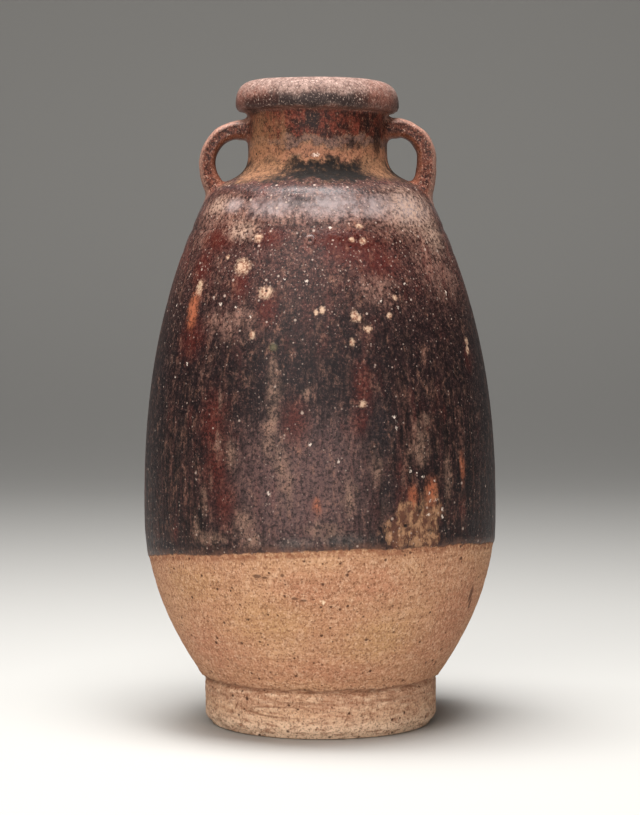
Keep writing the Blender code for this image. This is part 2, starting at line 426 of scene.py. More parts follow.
def body_mesh():
    """The thrown pot: its section spun through a wedge, which is doubled to a full turn."""
    section = body_inside() + list(reversed(body_outside())) + foot_outside()
    work = bmesh.new()
    corners = [work.verts.new((point.x, 0.0, point.y)) for point in section]
    sides = [work.edges.new(pair) for pair in zip(corners, corners[1:])]
    middle = Vector((0.0, 0.0, 0.0))
    wedge = math.tau / 2 ** WEDGE_DOUBLINGS
    bmesh.ops.spin(
        work, geom=corners + sides, cent=middle, axis=(0.0, 0.0, 1.0), angle=wedge, steps=WEDGE_STEPS
    )
    for doubling in range(WEDGE_DOUBLINGS):
        whole = work.verts[:] + work.edges[:] + work.faces[:]
        copied = bmesh.ops.duplicate(work, geom=whole)["geom"]
        onward = Matrix.Rotation(wedge * 2 ** doubling, 3, "Z")
        bmesh.ops.rotate(work, cent=middle, matrix=onward, verts=only_verts(copied))
    bmesh.ops.remove_doubles(work, verts=work.verts, dist=0.001 * MM)
    return finished_mesh(work, "thrown body")


def through(points, share):
    """Point at a share of a smooth line through the given points."""
    last = len(points) - 1
    place = min(max(share * last, 0.0), last - 0.0001)
    index = int(place)
    t = place - index
    before = Vector(points[max(index - 1, 0)])
    start = Vector(points[index])
    end = Vector(points[index + 1])
    after = Vector(points[min(index + 2, last)])
    curve = (before * -1.0 + start * 3.0 - end * 3.0 + after) * t ** 3
    curve += (before * 2.0 - start * 5.0 + end * 4.0 - after) * t ** 2
    curve += (end - before) * t
    return start + curve * 0.5


def ear_station(path, share):
    """Centre, outward way and thickness of an ear at a share of its length."""
    here = through(path, share)
    ahead = through(path, min(share + 0.01, 1.0)) - through(path, max(share - 0.01, 0.0))
    along = Vector((ahead.x, ahead.y)).normalized()
    return Vector((here.x, here.y)) * MM, Vector((-along.y, along.x)), here.z * MM


def ear_mesh(path, side):
    """One ear: a straight rod, channelled along its sides and bent round its centre line."""
    work = bmesh.new()
    bmesh.ops.create_cone(
        work, cap_ends=True, segments=EAR_SIDES, radius1=1.0, radius2=1.0, depth=1.0
    )
    lengthwise = [edge for edge in work.edges if abs(edge.verts[0].co.z - edge.verts[1].co.z) > 0.5]
    bmesh.ops.subdivide_edges(work, edges=lengthwise, cuts=EAR_STEPS - 1, use_grid_fill=True)
    for vert in work.verts:
        share = vert.co.z + 0.5
        centre, outward, thickness = ear_station(path, share)
        cosine = abs(vert.co.x) ** (2.0 / EAR_SQUARENESS)
        sine = abs(vert.co.y) ** (2.0 / EAR_SQUARENESS)
        across = math.copysign(cosine, vert.co.x) * 0.5 * thickness
        width = math.copysign(sine, vert.co.y) * 0.5 * thickness * EAR_SPREAD
        opened = smooth_step(*CHANNEL_OPENS, share) * (1.0 - smooth_step(*CHANNEL_CLOSES, share))
        channel = swell(across, EAR_CHANNEL_WIDTH) * opened
        width -= math.copysign(EAR_CHANNEL_DEPTH * channel * sine, vert.co.y)
        reach = centre + outward * across
        vert.co = Vector((side * reach.x, width, reach.y))
    return finished_mesh(work, "ear")


def luted_mesh():
    """Body and ears as one closed mesh."""
    body = in_scene("thrown body", body_mesh())
    ears = []
    for path, side in EARS:
        ear = in_scene("luted ear", ear_mesh(path, side))
        ears.append(ear)
        union = body.modifiers.new("Lute", "BOOLEAN")
        union.operation = "UNION"
        union.solver = "EXACT"
        union.object = ear
    bpy.context.view_layer.update()
    evaluated = body.evaluated_get(bpy.context.evaluated_depsgraph_get())
    mesh = bpy.data.meshes.new_from_object(evaluated)
    for item in ears + [body]:
        old = item.data
        bpy.data.objects.remove(item)
        bpy.data.meshes.remove(old)
    return mesh


def ear_points():
    """The ears' centre lines as points that can be searched, with what each point knows."""
    tree = kdtree.KDTree(2 * EAR_POINTS)
    known = []
    for path, side in EARS:
        for index in range(EAR_POINTS):
            centre, outward, thickness = ear_station(path, index / (EAR_POINTS - 1))
            point = Vector((side * centre.x, 0.0, centre.y))
            tree.insert(point, len(known))
            known.append((point, Vector((side * outward.x, 0.0, outward.y)), thickness))
    tree.balance()
    return tree, known


EAR_TREE, EAR_KNOWN = ear_points()


def ear_reading(place):
    """How near a place is to an ear's skin in millimetres, and its side of the ear."""
    flat = Vector((place.x, place.y / EAR_SPREAD, place.z))
    _, index, away = EAR_TREE.find(flat)
    centre, outward, thickness = EAR_KNOWN[index]
    gap = (away - 0.5 * thickness) / MM
    side = (flat - centre).dot(outward) / (0.5 * thickness)
    return gap, side


def soften_seams(work):
    """Smear the clay where the ears are luted on, as a thumb does."""
    seam = []
    for vert in work.verts:
        gap = ear_reading(vert.co)[0]
        place = vert.co / MM
        depth = abs(math.hypot(place.x, place.y) - turned_radius(place.z))
        # On the slanting shoulder the depth is measured along the level, so it counts for less
        slope = 1.0 if place.z > NECK_ROOT_HEIGHT / MM else 0.75
        if abs(gap) < SEAM_REACH and depth * slope < SEAM_DEPTH:
            seam.append(vert)
    for _ in range(SEAM_SMOOTHINGS):
        bmesh.ops.smooth_vert(
            work, verts=seam, factor=0.5, use_axis_x=True, use_axis_y=True, use_axis_z=True
        )


# Rings and dents on the outside: height, depth and half width in millimetres
TURNED_RINGS = [
    (126.9, 0.3, 0.6), (121.2, 0.16, 0.7), (133, 0.06, 0.9), (160.4, 0.3, 3), (104.5, 0.05, 1),
    (9.3, 0.1, 0.5), (36.9, 0.07, 0.6), (29.6, 0.05, 0.8), (22, 0.06, 0.7),
]

# Chips along the foot's lower edge: angle from the front, half length in degrees, depth in mm
FOOT_CHIPS = [
    (-62, 4.5, 1.3), (-47, 2.5, 0.8), (-33, 2, 0.5), (-21, 2, 0.6), (-4, 1.6, 0.4), (14, 3, 0.6),
    (29, 2, 0.5), (51, 2.5, 1.2), (57, 3, 0.8), (104, 4, 0.6), (168, 5, 0.7), (-128, 3, 0.5),
]


def spread_noise(turn, height, across, along):
    """Noise that runs round the pot without a join, in waves across and along."""
    return noise.noise(Vector((math.sin(turn) * across, math.cos(turn) * across, height * along)))


def outer_relief(turn, height, over_line):
    """How far the outer skin stands out from the turned form, in millimetres."""
    relief = UNEVENNESS * spread_noise(turn, height, 1.3, 0.02)
    relief += 0.3 * UNEVENNESS * spread_noise(turn, height, 5.0, 0.09)
    rings = noise.noise(Vector((0.4, 7.7, height * 0.36)))
    rings += 0.6 * noise.noise(Vector((3.1, 0.9, height * 0.9)))
    relief += RING_RELIEF * rings * (0.75 + 0.5 * spread_noise(turn, height, 1.6, 0.05))
    for ring_height, depth, half_width in TURNED_RINGS:
        away = (height - ring_height - 0.3 * spread_noise(turn, ring_height, 1.2, 0.0)) / half_width
        if abs(away) < 3.0:
            strength = 0.7 + 0.6 * spread_noise(turn, ring_height, 2.0, 0.0)
            relief -= depth * strength * math.exp(-away * away)
    glazed = smooth_step(-0.5, 0.5, over_line)
    relief -= CLAY_SETBACK * (1.0 - glazed)
    relief += 0.10 * glazed * swell(over_line - 1.4, 1.2)
    relief += 0.030 * (1.0 - glazed) * spread_noise(turn, height, 30.0, 0.8)
    return relief


def foot_relief(turn, height):
    """Tool marks and chips on the foot, in millimetres."""
    relief = 0.0
    degrees = math.degrees(turn)
    if -40.0 < degrees < 20.0:
        drawn = smooth_step(-38.5, -36.5, degrees) * (1.0 - smooth_step(12.0, 19.0, degrees))
        climb = 0.011 * (degrees + 36.0)
        relief -= 0.34 * drawn * swell(height - TOOL_LOW_LINE - climb, TOOL_LINE_HALF_WIDTH)
        relief -= 0.20 * drawn * swell(height - TOOL_HIGH_LINE, TOOL_LINE_HALF_WIDTH)
        along = (degrees - TOOL_END_TURN) * FOOT_DEGREE
        from_end = math.hypot(along, height - TOOL_END_HEIGHT)
        left_half = 1.0 - smooth_step(-37.0, -35.0, degrees)
        relief -= 0.30 * swell(from_end - TOOL_END_RADIUS, TOOL_LINE_HALF_WIDTH) * left_half
    for chip_turn, half_length, depth in FOOT_CHIPS:
        away = (degrees - chip_turn + 180.0) % 360.0 - 180.0
        if abs(away) < 2.5 * half_length and height < 4.5:
            low = swell(away, half_length) * swell(height - 1.0, 1.5)
            relief -= depth * low * (0.8 + 0.5 * spread_noise(turn, height, 40.0, 0.9))
    relief += 0.14 * spread_noise(turn, height, 9.0, 0.25)
    relief += 0.10 * spread_noise(turn, height, 26.0, 0.7)
    return relief


def on_skin(turn, height):
    """Point of the outer skin in millimetres, at an angle from the front and a height."""
    around = math.radians(turn)
    radius = turned_radius(height)
    return (radius * math.sin(around) + lean_at(height), -radius * math.cos(around), height)


# Marks of the glaze and the clay, each as (angle from the front in degrees, height, half width
# and half height in millimetres); angles grow to the right. The points of the skin note the
# large ones under their names; the small ones are nodes of the finish. A few marks are partly
# painted sheen and shade, as the comments at them say.
LARGE_MARKS = {
    "maroon": [
        (6, 123.6, 3.2, 2.2), (13, 122, 5.5, 3.6), (19, 121, 4.4, 2.8), (-20, 124.2, 3, 2.2),
        (-30, 113.2, 2, 3.6), (-18.5, 106.8, 2.4, 3.6), (-47, 124, 4.5, 2.6), (-50, 99.5, 4.2, 4.5),
        (-53, 117, 2.6, 4), (24, 118, 4.5, 3), (-36, 79, 3.4, 7), (-34, 68, 3.4, 8), (-31, 60, 3, 5),
        (14, 80, 2.4, 3.2), (62, 94.5, 1.8, 3.4), (14, 88.5, 2, 6), (-8, 80, 3, 4.5), (118, 112, 6, 7),
        (152, 84, 5, 14), (-122, 101, 6, 9), (-160, 70, 5, 12), (95, 68, 4, 10), (-92, 120, 6, 4),
        (172, 122, 8, 3),
    ],
    "orange": [
        (-52.5, 107.8, 1.8, 3.2), (-51.8, 104.6, 1.5, 2.6), (37, 62.6, 1.5, 2.6), (30, 61.6, 1, 2),
        (51.4, 67.8, 0.8, 2.8), (-1, 59.8, 0.7, 1.5), (133, 96, 1.6, 4),
    ],
    "tan": [
        (-15.2, 93, 1.1, 2), (-14.7, 86.5, 1.7, 4.2), (-14.6, 80.4, 1.4, 4.4), (-15.8, 76, 1.6, 4),
        (-12.4, 70.8, 1.5, 4.4), (-10.6, 66, 1.6, 5), (-33.6, 75.4, 0.7, 3.2), (-33.4, 85.4, 0.45, 4.2),
        (-29, 71.5, 1.3, 3), (-38.6, 60.4, 0.9, 3), (-36, 66, 0.5, 2.6), (-41.9, 52.6, 1, 2.4),
        (-4, 86.6, 0.8, 1.2), (9, 62, 1.5, 4), (18, 69, 1.2, 4.2), (35.2, 80.2, 1.3, 1.4),
        (33, 74, 2, 4), (21, 59, 1.2, 3.4), (44, 66, 1, 5), (-24, 55.5, 2.2, 3), (1, 53.8, 3.2, 1.8),
        (-35.8, 50.8, 4, 1.5), (-21, 51, 2.4, 1.8), (105, 82, 1.4, 7), (142, 64, 1.2, 9),
        (-104, 76, 1.4, 8), (-140, 60, 1.6, 7), (178, 92, 1.4, 6),
    ],
    "bare": [
        (25.5, 53, 4, 3.4), (31, 54.8, 5, 4.4), (36.5, 57.4, 3, 5.2), (28, 57.8, 3.2, 3),
        (33.5, 51, 5, 2.2),
    ],
    "charcoal": [
        (42.5, 51.6, 2.4, 2.6), (18.4, 51.6, 2.2, 2), (-60, 47, 14, 2.6), (-44, 48.2, 4, 1.6),
        (-31.5, 48.8, 1.6, 1.5), (58, 52, 5, 4), (50, 49.8, 5, 1.6), (90, 47, 8, 2), (150, 43, 12, 2.4),
        # The two tall marks at 70 and -72 degrees are painted shade on the body's sides, where it turns
        # from the lights
        (-130, 42.5, 12, 2.4), (-5, 133, 7, 1.2), (19.5, 78, 4, 8), (22, 62, 3, 6), (70, 74, 8, 26),
        (-72, 76, 8, 28),
    ],
    "grey_green": [
        (8, 50.9, 5, 1.8), (-8, 50.6, 4, 1.4),
    ],
    # Mauve low on the front: the glaze's tint and a painted sheen
    "mauve_and_sheen": [
        (-10, 62, 15, 16), (0, 66, 12, 14),
    ],
    "frost": [
        (-64, 131, 5, 4), (58, 131, 6, 5), (-32, 103.8, 6.5, 3.2), (52, 118, 5, 7), (62, 114, 3.5, 4),
        (36, 129, 8, 4), (50, 127, 6, 4), (-14, 129.2, 8, 2.6), (12, 129, 9, 2.6), (-46, 131, 7, 4),
        (-58, 126.5, 4, 4), (22, 112, 4, 3.5), (110, 126, 10, 5), (-120, 127, 10, 5), (168, 128, 9, 4),
        (140, 104, 8, 5),
    ],
    # Pale film on the shoulder, which also serves as a painted sheen of the light from above
    "film_and_sheen": [
        (-21, 132, 6.4, 2.2), (8, 132, 9, 2.8), (28, 131.8, 7, 2.4), (-44, 132.4, 3.4, 1.4),
        (46, 131.6, 8, 2.8), (112, 131.6, 14, 2.4), (160, 131.6, 16, 2.8), (-118, 131.6, 14, 2.4),
        (-158, 131.2, 12, 2.4),
    ],
    "beige": [
        (50, 131.4, 7, 4.5), (60, 126, 4, 4), (-56, 132.4, 3.6, 1.8), (-36, 125.8, 4, 1.8),
        (128, 130, 9, 3.4), (-140, 130.4, 9, 3.2),
    ],
    "ochre": [
        (-56, 149, 6, 7), (-48, 141.5, 7, 5), (52, 142, 5, 5), (-66, 135.5, 5, 4), (64, 135, 5, 4.5),
        (-29.5, 148.5, 1, 4.6), (-28, 142.4, 1.2, 2.6), (-52, 143.5, 2, 2), (48, 141, 2, 1.6),
        (140, 147, 1.2, 5), (-150, 146, 1, 5.5),
    ],
    "shadow": [
        (-3.4, 153.6, 1.9, 1.7), (29, 148, 1.4, 1.2), (35, 147.4, 1, 1), (45, 153, 1.5, 2.4),
        (56, 149, 2.2, 3.2), (-62, 156.6, 2.4, 1.2), (-46, 158.2, 6, 1.6),
    ],
    "rust": [
        (-50, 159, 5, 2.6), (-70, 158, 6, 4), (54, 158.6, 6, 4), (130, 159, 7, 2.5),
    ],
    "blush": [
        (56, 30, 12, 11), (-50, 22, 9, 6), (-4, 40, 9, 4), (20, 40, 7, 4), (0, 18, 14, 3),
        (130, 28, 16, 10), (-140, 34, 14, 7),
    ],
    "yellow": [
        (-46, 39, 9, 4), (-20, 31, 12, 5), (22, 26, 9, 5), (170, 36, 12, 6), (-100, 26, 10, 7),
    ],
}

# Small marks of the glaze
CREAM_BLOTS = [
    (-30.8, 117.2, 1.9, 1.7), (-51.3, 112.2, 1.1, 1.8), (-19.6, 110.8, 1.5, 1.4),
    (-25.8, 124.2, 0.9, 1), (1.2, 106.6, 0.65, 0.9), (-0.9, 106, 0.5, 0.6), (12.6, 105.2, 0.9, 1.3),
    (14, 104.6, 0.7, 0.7), (17, 102, 0.9, 0.8), (11.1, 98.9, 0.6, 0.9), (25.7, 105.2, 0.7, 0.7),
    (29, 109.6, 0.6, 0.7), (14, 123.6, 0.6, 0.7), (18.7, 123.4, 0.8, 0.7), (18.2, 127, 0.8, 0.6),
    (63.2, 98.6, 0.8, 1), (62.6, 96.6, 0.8, 1.1), (13.8, 84, 0.8, 0.8), (-38.9, 119.5, 0.6, 0.5),
    (-23.4, 100.7, 0.7, 1), (120, 108, 1.3, 1.5), (160, 113, 1.2, 1.2), (-140, 109, 1.4, 1.3),
    (-96, 98, 1, 1.4), (172, 99, 0.9, 1),
]
GREEN_RINGS = [
    (-15.5, 97.7, 0.9, 0.9), (-51.5, 112.6, 0.5, 0.8),
]
WHITE_CHIPS = [
    (-24.7, 105.1, 0.35, 0.4), (-38, 108, 0.5, 0.35), (-30.9, 107.3, 0.45, 0.3),
    (-50.3, 93.3, 0.4, 0.55), (-56.6, 90, 0.35, 0.4), (-65.8, 107.6, 0.35, 0.35),
    (-12.5, 114, 0.4, 0.35), (-4.6, 113.5, 0.55, 0.3), (5.4, 126.6, 0.45, 0.5),
    (55.8, 110.9, 0.35, 0.7), (23, 108.7, 0.4, 0.35), (29.6, 107.2, 0.4, 0.4), (34, 113, 0.35, 0.35),
    (-15.8, 62.6, 0.5, 0.45), (-2.9, 74.5, 0.5, 0.45), (5.6, 70.5, 0.4, 0.6), (24.2, 80.9, 0.45, 0.35),
    (25, 79.8, 0.35, 0.4), (24.9, 78.4, 0.3, 0.5), (29.2, 67.7, 0.5, 0.35), (31.4, 67.3, 0.35, 0.25),
    (33.6, 66.2, 0.5, 0.25), (38.2, 65.1, 0.35, 0.3), (41.4, 57.9, 0.3, 0.6), (41.4, 56.2, 0.4, 0.5),
    (36.6, 60.2, 0.4, 0.45), (39, 60.3, 0.3, 0.4), (35.7, 56.8, 0.5, 0.4), (36, 62, 0.3, 0.4),
    (-44.3, 159.4, 0.45, 0.45), (30.8, 158.8, 0.3, 0.3), (-1.3, 145, 0.8, 0.5), (16.6, 121, 0.25, 0.25),
]
SMALL_PITS = [
    (-19.4, 111.2, 0.3, 0.3), (61.8, 97.6, 0.35, 0.35), (-3.4, 123.5, 0.4, 0.4), (27.2, 54.5, 0.5, 0.5),
    (-60, 145.6, 0.35, 0.35), (13.2, 121.9, 0.3, 0.3),
]
BLISTERS = [
    (-3.4, 123.5, 1.3, 1.3), (27.2, 54.6, 1.4, 1.2), (-15.5, 97.7, 1, 1), (-19.6, 110.8, 1.2, 1.2),
]

# Small marks of the bare clay
CLAY_DARK_MARKS = [
    (-20.4, 42.4, 1.1, 0.45), (-17.8, 42.1, 0.9, 0.3), (-12, 42.8, 0.6, 0.5), (-8.2, 37, 0.9, 0.35),
    (-5.6, 36.6, 1, 0.3), (-2.4, 36.9, 0.6, 0.3), (2.1, 37.1, 0.45, 0.4), (-21.7, 27.7, 0.4, 0.35),
    (-21.6, 26.7, 0.35, 0.35), (-38.9, 22.6, 0.4, 0.3), (-51.1, 19.6, 0.35, 0.3),
    (-4.7, 18.6, 0.45, 0.3), (45.1, 44, 0.35, 0.35), (14.5, 32.3, 0.45, 0.4), (9.5, 27.8, 0.4, 0.35),
    (38.8, 26.3, 0.35, 0.3), (24.6, 34.7, 0.5, 0.4), (64, 34.2, 1, 3), (66, 32, 0.8, 2),
]
CLAY_PALE_CHIPS = [
    (1, 35.8, 0.5, 0.9), (0, 36.4, 0.4, 0.4), (67.9, 37.2, 0.4, 0.5), (5.6, 28, 0.3, 0.3),
    (-28, 24, 0.3, 0.3), (20, 42, 0.35, 0.3),
]

# The oval that a tool drew round the foot's front, open where it fades to the right
TOOL_OVAL = [
    (-12, 6.9, 12.5, 1.25),
]
TOOL_START = [
    (-26, 7, 9, 6),
]
TOOL_GROOVES = [
    (-14, 9.2, 9, 0.35), (-60, 9.4, 5, 0.3), (38, 9.6, 8, 0.3),
]


def mark_frame(mark):
    """Centre of a mark on the skin in millimetres, and the scale at which it is one ball.

    The ball's nearness falls from 1 in the middle to one half at the mark's edge and to 0 at
    twice its size.
    """
    turn, height, half_width, half_height = mark
    return on_skin(turn, height), (0.5 / half_width, 0.5 / half_width, 0.5 / half_height)


def note_large_marks(work):
    """Note on each point of the skin how near it is to the large marks."""
    work.verts.ensure_lookup_table()
    tree = kdtree.KDTree(len(work.verts))
    for index, vert in enumerate(work.verts):
        tree.insert(vert.co / MM, index)
    tree.balance()
    for name, marks in LARGE_MARKS.items():
        layer = work.verts.layers.float.new(name)
        for mark in marks:
            centre, scale = mark_frame(mark)
            for place, index, _ in tree.find_range(centre, 2.0 * max(mark[2:])):
                reach = math.hypot(*((place[axis] - centre[axis]) * scale[axis] for axis in range(3)))
                vert = work.verts[index]
                vert[layer] = max(vert[layer], 1.0 - reach)


# What each point of the skin notes for the finish: its height and its height above the
# glaze's edge in millimetres, ear from 0 on the body to 1 on an ear, ear_side from -1 on
# its inner side to 1 on its outer side, and hollow, which is 1 on the inner wall
NOTES = ("height", "over_line", "ear", "ear_side", "hollow")


def shape_skin(work):
    """Move the skin off the turned form, and note on each point what the clay there is."""
    layers = [work.verts.layers.float.new(name) for name in NOTES]
    work.normal_update()
    moves = []
    for vert in work.verts:
        place = vert.co / MM
        radius = math.hypot(place.x, place.y)
        turn = math.atan2(place.x, -place.y)
        height = place.z
        gap, side = ear_reading(vert.co)
        on_ear = 1.0 - smooth_step(0.2, 2.6, gap)
        if radius < turned_radius(height) - INNER_DEPTH and height > INNER_BASE:
            on_ear = 0.0
        depth = turned_radius(height) - radius
        hollow = smooth_step(2.0, 4.0, depth) if height > INNER_BASE else 0.0
        over_line = height - line_height(turn)
        near_line = min(max(over_line, -LINE_SCOPE), LINE_SCOPE)
        for layer, fact in zip(layers, (height, near_line, on_ear, side * on_ear, hollow)):
            vert[layer] = fact
        relief = outer_relief(turn, height, over_line) * (1.0 - hollow) * (1.0 - 0.8 * on_ear)
        relief += 0.16 * on_ear * noise.noise(place * 0.45)
        relief += 0.08 * hollow * noise.noise(Vector((0.0, 0.0, height * 0.4)))
        if height < FOOT_MARKS_HEIGHT:
            relief += foot_relief(turn, height) * (1.0 - hollow)
        normal = vert.normal.copy()
        if height < UNDERSIDE_HEIGHT:
            arcs = math.sin(radius * 1.7 + 1.5 * noise.noise(Vector((place.x, place.y, 0.0)) * 0.1))
            hollowing = UNDERSIDE_HOLLOW * (1.0 - smooth_step(14.0, 24.0, radius))
            moves.append((vert, Vector((0.0, 0.0, WIRE_ARC_RELIEF * (1.0 + arcs) + hollowing))))
            continue
        moves.append((vert, normal * (relief - SURFACE_SETBACK * (1.0 - hollow))))
    for vert, move in moves:
        place = vert.co / MM + move
        dip = smooth_step(*LIP_DIP_HEIGHTS, place.z) * LIP_DIP
        tilt = dip * (place.x + LIP_RADIUS / MM) / (2.0 * LIP_RADIUS / MM)
        place.x += lean_at(place.z)
        place.z = max(place.z - tilt, 0.0)
        vert.co = place * MM


def build_bottle():
    """The whole bottle as one piece, standing for the solid."""
    mesh = luted_mesh()
    mesh.name = "glazed bottle"
    work = bmesh.new()
    work.from_mesh(mesh)
    bmesh.ops.remove_doubles(work, verts=work.verts, dist=0.01 * MM)
    soften_seams(work)
    shape_skin(work)
    note_large_marks(work)
    long_faces = [face for face in work.faces if len(face.verts) > 4]
    bmesh.ops.triangulate(work, faces=long_faces)
    work.to_mesh(mesh)
    work.free()
    mesh.shade_smooth()
    bottle = in_scene("glazed_bottle", mesh)
    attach(bottle, "root")
    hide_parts("vase")
    return bottle


def tone(red, green, blue):
    """Colour from display values of 0 to 255."""
    shares = [value / 255.0 for value in (red, green, blue)]
    return tuple(((s + 0.055) / 1.055) ** 2.4 if s > 0.04045 else s / 12.92 for s in shares) + (1.0,)


class Weave:
    """Short ways to add and join the nodes of one tree."""

    def __init__(self, tree):
        self.tree = tree

    def feed(self, socket, value):
        if isinstance(value, bpy.types.NodeSocket):
            self.tree.links.new(value, socket)
        else:
            socket.default_value = value

    def node(self, kind, inputs, **settings):
        made = self.tree.nodes.new(kind)
        for name, value in settings.items():
            setattr(made, name, value)
        for socket, value in inputs.items():
            self.feed(made.inputs[socket], value)
        return made

    def math(self, operation, *values):
        return self.node("ShaderNodeMath", dict(enumerate(values)), operation=operation).outputs[0]

    def product(self, *values):
        result = values[0]
        for value in values[1:]:
            result = self.math("MULTIPLY", result, value)
        return result

    def total(self, base, *parts):
        """The base and the parts, each part times its weight."""
        for value, weight in parts:
            base = self.math("MULTIPLY_ADD", value, weight, base)
        return base

    def larger(self, first, second):
        return self.math("MAXIMUM", first, second)

    def rest(self, share):
        return self.math("SUBTRACT", 1.0, share)

    def mix(self, share, first, second):
        """Colour between two colours."""
        return self.node("ShaderNodeMix", {0: share, 6: first, 7: second}, data_type="RGBA").outputs[2]

    def blend(self, share, first, second):
        """Value between two values."""
        return self.node("ShaderNodeMix", {0: share, 2: first, 3: second}).outputs[0]

    def span(self, value, low, high, out_low=0.0, out_high=1.0):
        """Eased change from out_low to out_high as the value goes from low to high."""
        given = {"Value": value, "Low": low, "High": high}
        result = self.node("ShaderNodeGroup", given, node_tree=eased_step()).outputs["Result"]
        if (out_low, out_high) == (0.0, 1.0):
            return result
        return self.total(out_low, (result, out_high - out_low))

    def band(self, value, low, high, soft):
        """1 between low and high, with soft edges."""
        rise = self.span(value, low - soft, low + soft)
        return self.product(rise, self.span(value, high - soft, high + soft, 1.0, 0.0))

    def stretched(self, place, scale):
        return self.node("ShaderNodeMapping", {"Vector": place, "Scale": scale}).outputs["Vector"]


def new_group(name, inputs, output):
    """Empty shader node group with typed inputs and one output, and its two end nodes."""
    group = bpy.data.node_groups.new(name, "ShaderNodeTree")
    for label, kind, value in inputs:
        socket = group.interface.new_socket(label, in_out="INPUT", socket_type="NodeSocket" + kind)
        socket.default_value = value
    group.interface.new_socket(output, in_out="OUTPUT", socket_type="NodeSocketFloat")
    return group, group.nodes.new("NodeGroupInput").outputs, group.nodes.new("NodeGroupOutput").inputs


def eased_step():
    """Group that eases from 0 to 1 as a value goes from low to high."""
    made = bpy.data.node_groups.get("eased step")
    if made:
        return made
    inputs = (("Value", "Float", 0.0), ("Low", "Float", 0.0), ("High", "Float", 1.0))
    group, given, result = new_group("eased step", inputs, "Result")
    weave = Weave(group)
    width = weave.math("SUBTRACT", given["High"], given["Low"])
    share = weave.math("DIVIDE", weave.math("SUBTRACT", given["Value"], given["Low"]), width)
    share = weave.math("MINIMUM", weave.larger(share, 0.0), 1.0)
    weave.feed(result["Result"], weave.product(share, share, weave.total(3.0, (share, -2.0))))
    return group


def blot_group():
    """How near a place is to the middle of one blot: 1 there, one half at its edge."""
    origin = (0.0, 0.0, 0.0)
    whole = (1.0, 1.0, 1.0)
    inputs = (("Place", "Vector", origin), ("Location", "Vector", origin), ("Scale", "Vector", whole))
    group, given, result = new_group("blot", inputs, "Nearness")
    weave = Weave(group)
    fitted = {"Vector": given["Place"], "Location": given["Location"], "Scale": given["Scale"]}
    fitted = weave.node("ShaderNodeMapping", fitted).outputs["Vector"]
    ball = weave.node("ShaderNodeTexGradient", {"Vector": fitted}, gradient_type="SPHERICAL")
    weave.feed(result["Nearness"], ball.outputs["Fac"])
    return group


def scatter_group():
    """Spots strewn over the surface: a share of the cells holds a spot of its own size."""
    inputs = (
        ("Place", "Vector", (0.0, 0.0, 0.0)),
        ("Scale", "Float", 1.0),
        ("Share", "Float", 0.3),
        ("Radius", "Float", 0.2),
    )
    group, given, result = new_group("strewn spots", inputs, "Mask")
    weave = Weave(group)
    cells = weave.node("ShaderNodeTexVoronoi", {"Vector": given["Place"], "Scale": given["Scale"]})
    chance = weave.node("ShaderNodeSeparateColor", {"Color": cells.outputs["Color"]}).outputs
    kept = weave.math("LESS_THAN", chance["Red"], given["Share"])
    radius = weave.product(given["Radius"], weave.math("ADD", 0.45, chance["Green"]))
    spot = weave.span(cells.outputs["Distance"], radius, weave.product(radius, 0.45))
    weave.feed(result["Mask"], weave.product(spot, kept))
    return group


class Paint(Weave):
    """A weave with the patterns that clay and glaze share, and with the marks of this pot."""

    def __init__(self, tree):
        super().__init__(tree)
        self.blot = blot_group()
        self.strewn = scatter_group()
        coordinates = self.node("ShaderNodeTexCoord", {}).outputs["Object"]
        self.place = self.stretched(coordinates, (1.0 / MM,) * 3)
        self.height = self.noted("height")
        self.over_line = self.noted("over_line")
        self.grain = self.pattern(2.3, 3.0, 0.75, along=0.75)
        self.mottle = self.pattern(0.65, 4.0, 0.65, along=0.7)
        self.streaks = self.pattern(0.70, 4.0, 0.65, along=0.12)
        self.wander = self.span(self.pattern(0.25, 3.0, 0.6), 0.25, 0.75, -1.0, 1.0)
        self.crumb = self.pattern(1.2, 3.0, 0.7)
        self.ragged = self.centred(self.crumb, 0.75)
        self.torn = self.centred(self.pattern(0.5, 5.0, 0.8, along=0.4), 1.5)

    def mask(self, given):
        """A value as it is, (value, low, high) as a span, (name, softness) as large marks."""
        if not isinstance(given, tuple):
            return given
        return self.patches(*given) if isinstance(given[0], str) else self.span(*given)

    def product(self, *values):
        return super().product(*[self.mask(value) for value in values])

    def pattern(self, scale, detail, roughness, around=1.0, along=1.0):
        """Noise over the skin, drawn out round the pot or up it where that share is small."""
        place = self.place
        if (around, along) != (1.0, 1.0):
            place = self.stretched(place, (around, around, along))
        given = {"Vector": place, "Scale": scale, "Detail": detail, "Roughness": roughness}
        return self.node("ShaderNodeTexNoise", given).outputs["Fac"]

    def centred(self, value, reach):
        return self.total(-0.5 * reach, (value, reach))

    def level(self, wander):
        """Height that wanders up and down by so many millimetres."""
        return self.total(self.height, (self.wander, wander))

    def noted(self, name):
        """What the points of the skin note under a name."""
        return self.node("ShaderNodeAttribute", {}, attribute_name=name).outputs["Fac"]

    def edged(self, nearness, tear, softness):
        return self.span(self.math("ADD", nearness, tear), 0.5 - softness, 0.5 + softness)

    def patches(self, name, softness, tear=None):
        """The large marks that the points of the skin note, with torn edges."""
        return self.edged(self.noted(name), tear or self.torn, softness)

    def nearness(self, marks):
        """How near a place is to the small marks of a list, too small for the skin's points."""
        nearest = 0.0
        for mark in marks:
            centre, scale = mark_frame(mark)
            location = tuple(-centre[axis] * scale[axis] for axis in range(3))
            given = {"Place": self.place, "Location": location, "Scale": scale}
            blot = self.node("ShaderNodeGroup", given, node_tree=self.blot)
            nearest = self.larger(nearest, blot.outputs["Nearness"])
        return nearest

    def blots(self, marks, tear, softness):
        return self.edged(self.nearness(marks), tear, softness)

    def spots(self, scale, share, radius):
        given = {"Place": self.place, "Scale": scale, "Share": share, "Radius": radius}
        return self.node("ShaderNodeGroup", given, node_tree=self.strewn).outputs["Mask"]


